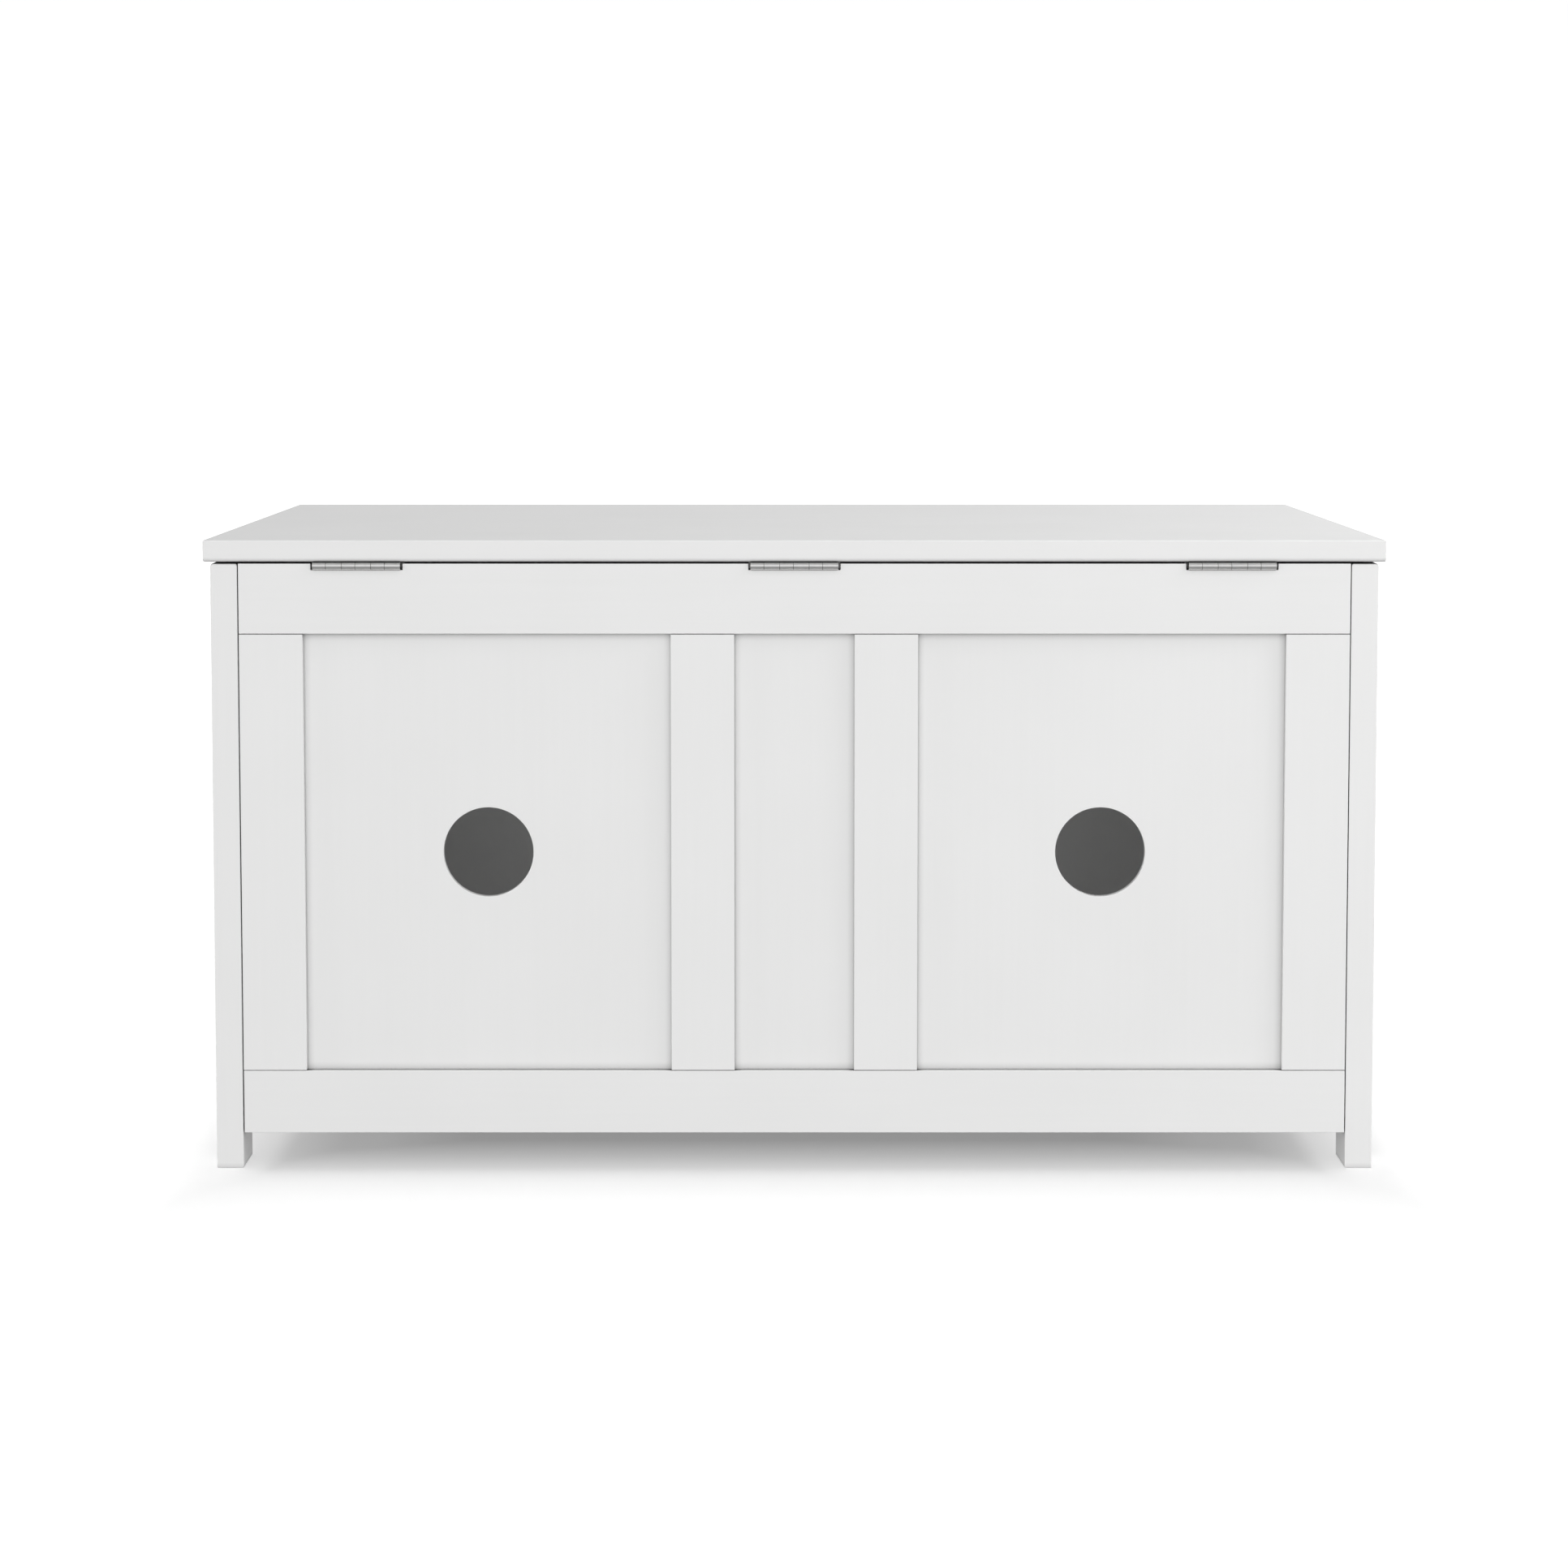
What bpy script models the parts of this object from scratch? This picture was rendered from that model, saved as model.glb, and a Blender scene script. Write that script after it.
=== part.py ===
"""A lidded wooden toy box: panelled frames between four corner legs, a lid on three butt hinges,
and a slotted friction stay at each side. Metres, +Z up, front at -Y, origin under the middle."""

import math

import bmesh
import bpy
from mathutils import Vector

MM = 0.001

# Driving dimensions
LID_WIDTH = 914.4 * MM
LID_DEPTH = 432.0 * MM
LID_THICKNESS = 17.0 * MM
LID_UNDERSIDE = 476.0 * MM
LID_ARRIS = 1.0 * MM
LID_EASING = 3.6 * MM
SIDE_OVERHANG = 5.4 * MM
BACK_OVERHANG = 1.6 * MM
FRONT_OVERHANG = 12.0 * MM

LEG_HEIGHT = 474.8 * MM
LEG_WIDTH = 21.0 * MM
LEG_DEPTH = 36.0 * MM
LEG_TOP_EASING = 2.2 * MM

FRAME_THICKNESS = 16.0 * MM
TOP_RAIL = (420.2 * MM, LEG_HEIGHT)
BOTTOM_RAIL = (28.2 * MM, 77.4 * MM)
STILE_WIDTH = 49.2 * MM
CENTRE_OPENING = 93.2 * MM

PANEL_THICKNESS = 5.0 * MM
PANEL_RECESS = 5.5 * MM
GROOVE_DEPTH = 8.0 * MM
GROOVE_PLAY = 0.3 * MM
PANEL_TONGUE = 7.0 * MM
TENON_LENGTH = 10.0 * MM
TOP_TENON = (430.0 * MM, 460.0 * MM)
BOTTOM_TENON = (34.0 * MM, 66.0 * MM)
VENT_RADIUS = 35.0 * MM

FLOOR = (50.0 * MM, 59.0 * MM)
CLEAT_SIZE = 16.0 * MM

GAP = 0.3 * MM
STILE_GAP = 0.45 * MM
SEAM = 0.8 * MM

# Butt hinges: pairs of knuckles, lid leaf then box leaf, along a pin level with the back face
HINGE_SPACING = 338.4 * MM
LID_KNUCKLE = 10.5 * MM
BOX_KNUCKLE = 12.2 * MM
KNUCKLE_PAIRS = 3
BARREL_RADIUS = 2.9 * MM
PIN_BORE = 1.65 * MM
PIN_RADIUS = 1.4 * MM
LEAF_OUTER = 2.85 * MM
LEAF_INNER = 1.75 * MM
LEAF_REACH = 14.6 * MM
LEAF_CLEARANCE = 3.4 * MM
LEAF_SCREW_PITCH = 24.0 * MM
LEAF_SCREW_SETBACK = 9.4 * MM
SCREW_SHANK = 1.6 * MM
SCREW_HEAD = 2.9 * MM
NOTCH_MARGIN = 1.5 * MM
NOTCH_DEPTH = 5.0 * MM
AXIS_BELOW_RAIL_TOP = 2.0 * MM

# Lid stays: the stud and the bracket pivot are equally far from the lid's axis, so the arm
# turns through half of the lid's angle
STAY_RADIUS = 160.0 * MM
STUD_ANGLE = math.radians(12.6)
PIVOT_ANGLE = math.radians(5.2)
ARM_WIDTH = 16.0 * MM
SLOT_WIDTH = 6.6 * MM
SLOT_START = 19.5 * MM
SLOT_END = 242.0 * MM
STUD_RADIUS = 3.0 * MM
RIVET_RADIUS = 2.6 * MM
PIVOT_HOLE = 2.9 * MM
# Distances from the box's middle plane of each layer of a stay, inner face first
PLATE_SIZE = (56.0 * MM, 16.0 * MM)
PLATE_SCREW_OFFSET = 20.0 * MM
TAB_DEPTH = 20.7 * MM
TAB_LENGTH = 36.0 * MM
TAB_THICKNESS = 1.6 * MM
TAB_SCREW_OFFSET = 12.0 * MM
FLANGE_RADIUS = 9.0 * MM

BUMPER_RADIUS = 5.0 * MM
BUMPER_THICKNESS = 0.8 * MM
BUMPER_CLEARANCE = 0.2 * MM
BUMPER_OFFSET = 380.0 * MM

# Positions that follow from them
BACK_FACE = LID_DEPTH / 2 - BACK_OVERHANG
FRONT_FACE = -LID_DEPTH / 2 + FRONT_OVERHANG
SIDE_FACE = LID_WIDTH / 2 - SIDE_OVERHANG
INNER_FACE = SIDE_FACE - FRAME_THICKNESS
PLATE_LAYER = (INNER_FACE - 2.0 * MM, INNER_FACE - 0.3 * MM)
ARM_LAYER = (INNER_FACE - 5.3 * MM, INNER_FACE - 2.8 * MM)
FLANGE_LAYER = (INNER_FACE - 7.8 * MM, INNER_FACE - 5.8 * MM)
LEG_INNER = SIDE_FACE - LEG_WIDTH
BACK_LEG_FRONT = BACK_FACE - LEG_DEPTH
FRONT_LEG_BACK = FRONT_FACE + LEG_DEPTH
HALF_RAIL = LEG_INNER - SEAM
LID_AXIS = Vector((0.0, BACK_FACE, LEG_HEIGHT - AXIS_BELOW_RAIL_TOP))
HINGE_LENGTH = KNUCKLE_PAIRS * (LID_KNUCKLE + BOX_KNUCKLE)
PANEL_LAYER = (PANEL_RECESS, PANEL_RECESS + PANEL_THICKNESS)
GROOVE_LAYER = (PANEL_LAYER[0] - GROOVE_PLAY, PANEL_LAYER[1] + GROOVE_PLAY)
PANEL_RISE = (BOTTOM_RAIL[1] - PANEL_TONGUE, TOP_RAIL[0] + PANEL_TONGUE)
OUTER_STILE = (HALF_RAIL - STILE_WIDTH, HALF_RAIL)
MUNTIN = (CENTRE_OPENING / 2, CENTRE_OPENING / 2 + STILE_WIDTH)
STUD_DROP = Vector((0.0, -math.cos(STUD_ANGLE), -math.sin(STUD_ANGLE))) * STAY_RADIUS
PIVOT_DROP = Vector((0.0, -math.cos(PIVOT_ANGLE), -math.sin(PIVOT_ANGLE))) * STAY_RADIUS

ORIGIN = Vector((0.0, 0.0, 0.0))
OVERCUT = 1.0 * MM
EPSILON = 1e-6
ROUND_STEPS = 16
KNUCKLE_STEPS = 24
VENT_STEPS = 64
SMOOTH_ANGLE = math.radians(35)
SQUARE_TURN = math.radians(60)


def material(name, colour, roughness, metallic=0.0):
    made = bpy.data.materials.new(name)
    made.use_nodes = True
    shader = made.node_tree.nodes["Principled BSDF"]
    shader.inputs["Base Color"].default_value = (*colour, 1.0)
    shader.inputs["Roughness"].default_value = roughness
    shader.inputs["Metallic"].default_value = metallic
    made.diffuse_color = (*colour, 1.0)
    return made


FINISHES = {
    "white_paint": ((0.84, 0.84, 0.84), 0.45, 0.0),
    "hinge_steel": ((0.62, 0.61, 0.60), 0.32, 1.0),
    "zinc_steel": ((0.55, 0.56, 0.58), 0.38, 1.0),
    "rubber": ((0.30, 0.30, 0.30), 0.75, 0.0),
}


def clear_scene():
    for old in list(bpy.data.objects):
        bpy.data.objects.remove(old, do_unlink=True)


def place_of(obj):
    """An object's own place in the world: nothing here is parented to a turned object."""
    place = obj.location.copy()
    while obj.parent:
        obj = obj.parent
        place += obj.location
    return place


def add_empty(name, place, parent=None):
    empty = bpy.data.objects.new(name, None)
    empty.empty_display_size = 30 * MM
    empty.parent = parent
    empty.location = place - (place_of(parent) if parent else ORIGIN)
    bpy.context.scene.collection.objects.link(empty)
    return empty


def add_object(name, bm, place, parent=None):
    """The mesh in bm, drawn about its own origin, as an object that stands at place."""
    bmesh.ops.recalc_face_normals(bm, faces=bm.faces)
    if bm.calc_volume(signed=True) < 0:
        bmesh.ops.reverse_faces(bm, faces=bm.faces)
    mesh = bpy.data.meshes.new(name)
    bm.to_mesh(mesh)
    bm.free()
    obj = bpy.data.objects.new(name, mesh)
    obj.parent = parent
    obj.location = place - (place_of(parent) if parent else ORIGIN)
    bpy.context.scene.collection.objects.link(obj)
    return obj


def block(name, low, high, parent=None):
    """A square-cut block between two corners, with its origin at its middle."""
    low = Vector(low)
    high = Vector(high)
    bm = bmesh.new()
    bmesh.ops.create_cube(bm, size=1.0)
    bmesh.ops.scale(bm, vec=high - low, verts=bm.verts)
    return add_object(name, bm, (low + high) / 2, parent)


def rod(name, middle, radius, length, steps=ROUND_STEPS, parent=None, axis="X"):
    """A round rod along X or Y, with a flat of its outline facing down."""
    bm = bmesh.new()
    bmesh.ops.create_cone(
        bm, cap_ends=True, segments=steps, radius1=radius, radius2=radius, depth=length
    )
    turn_onto_axis(bm, axis)
    return add_object(name, bm, Vector(middle), parent)


def turn_onto_axis(bm, axis):
    """Turns a shape drawn along Z so that it lies along X or Y."""
    for vert in bm.verts:
        x, y, z = vert.co
        vert.co = (z, x, y) if axis == "X" else (x, -z, y)


def turned(name, profile, place, side, steps=KNUCKLE_STEPS, parent=None):
    """A piece turned about X. The profile is (distance from the box's middle, radius) pairs."""
    bm = bmesh.new()
    start = profile[0][0]
    chain = [bm.verts.new((side * (x - start), radius, 0.0)) for x, radius in profile]
    edges = [bm.edges.new(pair) for pair in zip(chain, chain[1:])]
    bmesh.ops.spin(
        bm, geom=chain + edges, cent=ORIGIN, axis=(1, 0, 0), angle=math.tau, steps=steps,
        use_merge=True,
    )
    bmesh.ops.remove_doubles(bm, verts=bm.verts, dist=EPSILON)
    return add_object(name, bm, Vector((side * start, place.y, place.z)), parent)


def arc(centre, radius, first, last, steps):
    """Points on an arc in the YZ plane, as (y, z) pairs, with angles in degrees."""
    angles = [math.radians(first + (last - first) * i / steps) for i in range(steps + 1)]
    return [(centre[0] + radius * math.cos(a), centre[1] + radius * math.sin(a)) for a in angles]


def plate_from(name, outline, layer, place, side, parent=None):
    """A flat plate cut to an outline of (y, z) pairs about its own origin, facing X."""
    bm = bmesh.new()
    middle = (layer[0] + layer[1]) / 2
    half = (layer[1] - layer[0]) / 2
    face = bm.faces.new([bm.verts.new((-half, y, z)) for y, z in outline])
    made = bmesh.ops.extrude_face_region(bm, geom=[face])
    moved = [item for item in made["geom"] if isinstance(item, bmesh.types.BMVert)]
    bmesh.ops.translate(bm, vec=(2 * half, 0, 0), verts=moved)
    return add_object(name, bm, Vector((side * middle, place.y, place.z)), parent)


def long_hole(start, end, radius, steps=ROUND_STEPS):
    """The outline of a round-ended bar that runs down from start to end, given as depths."""
    top = arc((0.0, -start), radius, 0, 180, steps)
    bottom = arc((0.0, -end), radius, 180, 360, steps)
    return top + bottom


def combine(obj, tools, operation):
    """Adds or cuts away hidden helper shapes, which then belong to the object."""
    for tool in tools:
        tool.hide_render = True
        tool.display_type = "WIRE"
        tool.location = place_of(tool) - place_of(obj)
        tool.parent = obj
        boolean = obj.modifiers.new(tool.name, "BOOLEAN")
        boolean.operation = operation
        boolean.solver = "EXACT"
        boolean.object = tool
    return obj


def lies_at(edge, height):
    """Whether an edge is level at a height above its object's middle."""
    return all(abs(vert.co.z - height) < EPSILON for vert in edge.verts)


def ease(obj, picks, radius, steps):
    """Rounds the edges that picks says yes to."""
    bm = bmesh.new()
    bm.from_mesh(obj.data)
    picked = [edge for edge in bm.edges if picks(edge)]
    bmesh.ops.bevel(bm, geom=picked, offset=radius, segments=steps, profile=0.5, affect="EDGES")
    bm.to_mesh(obj.data)
    bm.free()


def finish(obj, finish_name, smooth=False):
    """Gives an object its own material, and round pieces smooth shading."""
    obj.data.materials.append(material(obj.name + "_" + finish_name, *FINISHES[finish_name]))
    if smooth:
        obj.data.shade_smooth()
        obj.data.set_sharp_from_angle(angle=SMOOTH_ANGLE)
    return obj


class Wall:
    """One wall of the box. Its pieces are placed by their run along the wall, their depth in
    from its outer face and their height."""

    def __init__(self, name, along, outer, outward):
        self.name = name
        self.along = along
        self.outer = outer
        self.outward = outward

    def block(self, name, run, depth, rise):
        near, far = sorted(self.outer - self.outward * d for d in depth)
        low = (run[0], near, rise[0])
        high = (run[1], far, rise[1])
        if self.along == "Y":
            low = (near, run[0], rise[0])
            high = (far, run[1], rise[1])
        return block(name, low, high)

    def rail(self, name, run, rise, tenon_rise, groove_edge, groove_sign):
        """A rail with a stub tenon at each end and a groove along its panel edge."""
        obj = self.block(name, run, (0.0, FRAME_THICKNESS), rise)
        whole = (run[0] - TENON_LENGTH, run[1] + TENON_LENGTH)
        tenon = self.block(name + "_tenon", whole, PANEL_LAYER, tenon_rise)
        groove_rise = sorted(
            (groove_edge + groove_sign * GROOVE_DEPTH, groove_edge - groove_sign * OVERCUT)
        )
        past = (run[0] - OVERCUT, run[1] + OVERCUT)
        groove = self.block(name + "_groove", past, GROOVE_LAYER, groove_rise)
        combine(obj, [tenon], "UNION")
        combine(obj, [groove], "DIFFERENCE")
        return finish(obj, "white_paint")

    def rails(self, run):
        top = self.rail(self.name + "_top_rail", run, TOP_RAIL, TOP_TENON, TOP_RAIL[0], 1)
        self.rail(self.name + "_bottom_rail", run, BOTTOM_RAIL, BOTTOM_TENON, BOTTOM_RAIL[1], -1)
        return top

    def stile(self, name, run, grooved_edges):
        """An upright between the rails, tenoned into their grooves. Each grooved edge is given
        as its place along the wall and the direction into the wood."""
        rise = (BOTTOM_RAIL[1] + STILE_GAP, TOP_RAIL[0] - STILE_GAP)
        obj = self.block(name, run, (0.0, FRAME_THICKNESS), rise)
        tenon_run = [run[0] + OVERCUT, run[1] - OVERCUT]
        grooves = []
        for edge, inward in grooved_edges:
            bottom = edge + inward * GROOVE_DEPTH
            groove_run = sorted((edge - inward * OVERCUT, bottom))
            groove_rise = (rise[0] - OVERCUT, rise[1] + OVERCUT)
            grooves.append(
                self.block(name + "_groove", groove_run, GROOVE_LAYER, groove_rise)
            )
            tenon_run[0 if inward > 0 else 1] = bottom + inward * OVERCUT
        tenon = self.block(name + "_tenon", tenon_run, PANEL_LAYER, PANEL_RISE)
        combine(obj, [tenon], "UNION")
        combine(obj, grooves, "DIFFERENCE")
        return finish(obj, "white_paint")

    def panel(self, name, run):
        """A thin board held in the grooves round an opening that spans run."""
        run = (run[0] - PANEL_TONGUE, run[1] + PANEL_TONGUE)
        return finish(self.block(name, run, PANEL_LAYER, PANEL_RISE), "white_paint")


SIDES = (("left", -1), ("right", 1))


def span(side, low, high):
    """The stretch from low to high on one side of the middle, lowest first."""
    return tuple(sorted((side * low, side * high)))


def make_long_wall(wall):
    """A rail-and-panel frame of three openings. Returns its top rail and its outer panels."""
    top = wall.rails((-HALF_RAIL, HALF_RAIL))
    outer_panels = []
    for side_name, side in SIDES:
        wall.stile(
            f"{wall.name}_stile_{side_name}",
            span(side, *OUTER_STILE),
            [(side * OUTER_STILE[0], side)],
        )
        wall.stile(
            f"{wall.name}_muntin_{side_name}",
            span(side, *MUNTIN),
            [(side * MUNTIN[0], side), (side * MUNTIN[1], -side)],
        )
        outer_panels.append(
            wall.panel(f"{wall.name}_panel_{side_name}", span(side, MUNTIN[1], OUTER_STILE[0]))
        )
    wall.panel(f"{wall.name}_panel_centre", (-MUNTIN[0], MUNTIN[0]))
    return top, outer_panels


def cut_vents(panels):
    """One round vent hole through the middle of each panel."""
    for panel in panels:
        place = place_of(panel)
        tool = rod(
            panel.name + "_vent", place, VENT_RADIUS, 2 * FRAME_THICKNESS, VENT_STEPS, axis="Y"
        )
        combine(panel, [tool], "DIFFERENCE")


def cut_hinge_notches(rail):
    """The notches that let the box leaves into the back rail's top edge."""
    half = HINGE_LENGTH / 2 + NOTCH_MARGIN
    for index, middle in enumerate(hinge_places()):
        low = (middle - half, BACK_FACE - FRAME_THICKNESS - OVERCUT, LEG_HEIGHT - NOTCH_DEPTH)
        high = (middle + half, BACK_FACE + OVERCUT, LEG_HEIGHT + OVERCUT)
        combine(rail, [block(f"hinge_notch_{index}", low, high)], "DIFFERENCE")


def make_end_wall(side_name, side):
    wall = Wall(f"{side_name}_side", "Y", side * SIDE_FACE, side)
    shoulders = (FRONT_LEG_BACK + SEAM, BACK_LEG_FRONT - SEAM)
    wall.rails(shoulders)
    wall.panel(f"{side_name}_side_panel", shoulders)


def make_leg(name, side, outer, inward):
    """A corner leg. outer is its outer face along Y, and inward the direction into the box."""
    low_y, high_y = sorted((outer, outer + inward * LEG_DEPTH))
    low_x, high_x = span(side, LEG_INNER, SIDE_FACE)
    leg = block(name, (low_x, low_y, 0.0), (high_x, high_y, LEG_HEIGHT))
    ease(leg, lambda edge: lies_at(edge, LEG_HEIGHT / 2), LEG_TOP_EASING, 3)
    play = TENON_LENGTH + SEAM
    tools = []
    inner_y = outer + inward * LEG_DEPTH
    groove_x = span(side, SIDE_FACE - GROOVE_LAYER[1], SIDE_FACE - GROOVE_LAYER[0])
    groove_y = sorted((inner_y + inward * OVERCUT, inner_y - inward * play))
    tools.append(
        block(
            name + "_panel_groove",
            (groove_x[0], groove_y[0], BOTTOM_TENON[0] - GAP),
            (groove_x[1], groove_y[1], TOP_TENON[1] + GAP),
        )
    )
    mortise_x = span(side, LEG_INNER - OVERCUT, LEG_INNER + play)
    mortise_y = sorted(outer + inward * depth for depth in GROOVE_LAYER)
    for label, rise in (("top", TOP_TENON), ("bottom", BOTTOM_TENON)):
        tools.append(
            block(
                f"{name}_{label}_mortise",
                (mortise_x[0], mortise_y[0], rise[0] - GAP),
                (mortise_x[1], mortise_y[1], rise[1] + GAP),
            )
        )
    combine(leg, tools, "DIFFERENCE")
    finish(leg, "white_paint")


def make_floor():
    """The floor panel, notched round the legs, on four cleats."""
    low_y = FRONT_FACE + FRAME_THICKNESS + SEAM
    high_y = BACK_FACE - FRAME_THICKNESS - SEAM
    half = SIDE_FACE - FRAME_THICKNESS - SEAM
    floor = block("floor_panel", (-half, low_y, FLOOR[0]), (half, high_y, FLOOR[1]))
    notches = []
    for side_name, side in SIDES:
        notch_x = span(side, LEG_INNER - SEAM, half + OVERCUT)
        for end_name, run in (
            ("back", (BACK_LEG_FRONT - SEAM, high_y + OVERCUT)),
            ("front", (low_y - OVERCUT, FRONT_LEG_BACK + SEAM)),
        ):
            notches.append(
                block(
                    f"floor_notch_{end_name}_{side_name}",
                    (notch_x[0], run[0], FLOOR[0] - OVERCUT),
                    (notch_x[1], run[1], FLOOR[1] + OVERCUT),
                )
            )
    combine(floor, notches, "DIFFERENCE")
    finish(floor, "white_paint")
    top = FLOOR[0] - GAP
    bottom = top - CLEAT_SIZE
    for name, face, inward in (
        ("back_floor_cleat", BACK_FACE - FRAME_THICKNESS, -1),
        ("front_floor_cleat", FRONT_FACE + FRAME_THICKNESS, 1),
    ):
        run = sorted((face + inward * GAP, face + inward * (GAP + CLEAT_SIZE)))
        cleat = block(name, (-HALF_RAIL, run[0], bottom), (HALF_RAIL, run[1], top))
        finish(cleat, "white_paint")
    for side_name, side in SIDES:
        face = INNER_FACE - GAP
        run = span(side, face - CLEAT_SIZE, face)
        cleat = block(
            f"{side_name}_floor_cleat",
            (run[0], FRONT_LEG_BACK + SEAM, bottom),
            (run[1], BACK_LEG_FRONT - SEAM, top),
        )
        finish(cleat, "white_paint")


def is_lower_long_edge(edge):
    """Whether an edge of the lid runs along its underside from end to end."""
    return lies_at(edge, -LID_THICKNESS / 2) and edge.calc_length() > LID_DEPTH + EPSILON


def make_lid(parent):
    """One board with its arrises taken off, and a larger easing below its front and back."""
    half_x = LID_WIDTH / 2
    half_y = LID_DEPTH / 2
    top = LID_UNDERSIDE + LID_THICKNESS
    lid = block("lid", (-half_x, -half_y, LID_UNDERSIDE), (half_x, half_y, top), parent)
    ease(lid, is_lower_long_edge, LID_EASING, 4)
    ease(lid, lambda edge: edge.calc_face_angle() > SQUARE_TURN, LID_ARRIS, 3)
    finish(lid, "white_paint", smooth=True)


def hinge_places():
    return (-HINGE_SPACING, 0.0, HINGE_SPACING)


def knuckle_runs():
    """The stretches of the barrel that belong to the lid leaf and to the box leaf, measured
    from the hinge's middle. They alternate, starting with the lid leaf at the right."""
    runs = {"lid": [], "box": []}
    edge = HINGE_LENGTH / 2
    for _ in range(KNUCKLE_PAIRS):
        for owner, width in (("lid", LID_KNUCKLE), ("box", BOX_KNUCKLE)):
            runs[owner].append((edge - width + GAP / 2, edge - GAP / 2))
            edge -= width
    return runs


def make_leaf(name, middle, runs, up, parent):
    """One leaf of a hinge: a plate with screw holes, and the knuckles curled from its edge.
    up is +1 for the leaf under the lid and -1 for the leaf in the rail."""
    axis_y, axis_z = LID_AXIS.y, LID_AXIS.z
    low_z, high_z = sorted((axis_z + up * LEAF_INNER, axis_z + up * LEAF_OUTER))
    leaf = block(
        name,
        (middle - HINGE_LENGTH / 2, axis_y - LEAF_REACH, low_z),
        (middle + HINGE_LENGTH / 2, axis_y - LEAF_CLEARANCE, high_z),
        parent,
    )
    added = []
    for index, (start, end) in enumerate(runs):
        tab_low = (middle + start, axis_y - LEAF_CLEARANCE - OVERCUT, low_z)
        tab_high = (middle + end, axis_y, high_z)
        added.append(block(f"{name}_tab_{index}", tab_low, tab_high))
        centre = (middle + (start + end) / 2, axis_y, axis_z)
        added.append(
            rod(f"{name}_knuckle_{index}", centre, BARREL_RADIUS, end - start, KNUCKLE_STEPS)
        )
    combine(leaf, added, "UNION")
    bore = rod(name + "_bore", (middle, axis_y, axis_z), PIN_BORE, HINGE_LENGTH + OVERCUT)
    combine(leaf, [bore] + leaf_screw_holes(name, middle, up), "DIFFERENCE")
    finish(leaf, "hinge_steel", smooth=True)


def leaf_screw_holes(name, middle, up):
    """Countersunk holes, widest on the face that shows when the hinge is open."""
    thickness = LEAF_OUTER - LEAF_INNER
    wide_z = LID_AXIS.z + up * LEAF_INNER
    holes = []
    for index in (-1, 0, 1):
        bm = bmesh.new()
        bmesh.ops.create_cone(
            bm, cap_ends=True, segments=ROUND_STEPS, radius1=SCREW_HEAD + OVERCUT,
            radius2=SCREW_SHANK, depth=thickness + OVERCUT,
        )
        for vert in bm.verts:
            vert.co.z *= up
        y = LID_AXIS.y - LEAF_SCREW_SETBACK
        x = middle + index * LEAF_SCREW_PITCH
        z = wide_z + up * (thickness - OVERCUT) / 2
        sink = add_object(f"{name}_countersink_{index}", bm, Vector((x, y, z)))
        bm = bmesh.new()
        bmesh.ops.create_cone(
            bm, cap_ends=True, segments=ROUND_STEPS, radius1=SCREW_SHANK,
            radius2=SCREW_SHANK, depth=4 * thickness,
        )
        hole = add_object(f"{name}_screw_hole_{index}", bm, Vector((x, y, z)))
        holes += [sink, hole]
    return holes


def make_hinges(box, lid_group):
    runs = knuckle_runs()
    for label, middle in zip(("left", "centre", "right"), hinge_places()):
        make_leaf(f"hinge_{label}_lid_leaf", middle, runs["lid"], 1, lid_group)
        make_leaf(f"hinge_{label}_box_leaf", middle, runs["box"], -1, box)
        place = (middle, LID_AXIS.y, LID_AXIS.z)
        pin = rod(f"hinge_{label}_pin", place, PIN_RADIUS, HINGE_LENGTH, parent=box)
        finish(pin, "hinge_steel", smooth=True)


def make_stay(side_name, side, box, lid_group):
    stud_place = LID_AXIS + STUD_DROP
    pivot_place = LID_AXIS + PIVOT_DROP
    make_stay_plate(side_name, side, stud_place, box)
    make_stay_bracket(side_name, side, pivot_place, lid_group)
    make_stay_arm(side_name, side, stud_place, pivot_place, lid_group)
    stud = turned(
        f"stay_stud_{side_name}",
        [
            (PLATE_LAYER[1], 0.0),
            (PLATE_LAYER[1], RIVET_RADIUS),
            (PLATE_LAYER[0] - GAP, RIVET_RADIUS),
            (PLATE_LAYER[0] - GAP, STUD_RADIUS),
            (FLANGE_LAYER[1], STUD_RADIUS),
            (FLANGE_LAYER[1], 2 * STUD_RADIUS),
            (FLANGE_LAYER[0] + 0.6 * MM, 2 * STUD_RADIUS),
            (FLANGE_LAYER[0], 1.8 * STUD_RADIUS),
            (FLANGE_LAYER[0], 0.0),
        ],
        stud_place, side, parent=box,
    )
    finish(stud, "zinc_steel", smooth=True)
    head = 1.7 * RIVET_RADIUS
    outer = ARM_LAYER[1] + GAP
    inner = FLANGE_LAYER[0] - GAP
    rivet = turned(
        f"stay_rivet_{side_name}",
        [
            (outer + 1.3 * MM, 0.0),
            (outer + 1.3 * MM, 0.8 * head),
            (outer + 0.7 * MM, head),
            (outer, head),
            (outer, RIVET_RADIUS),
            (inner, RIVET_RADIUS),
            (inner, head),
            (inner - 0.7 * MM, head),
            (inner - 1.3 * MM, 0.8 * head),
            (inner - 1.3 * MM, 0.0),
        ],
        pivot_place, side, parent=lid_group,
    )
    finish(rivet, "zinc_steel", smooth=True)


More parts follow.
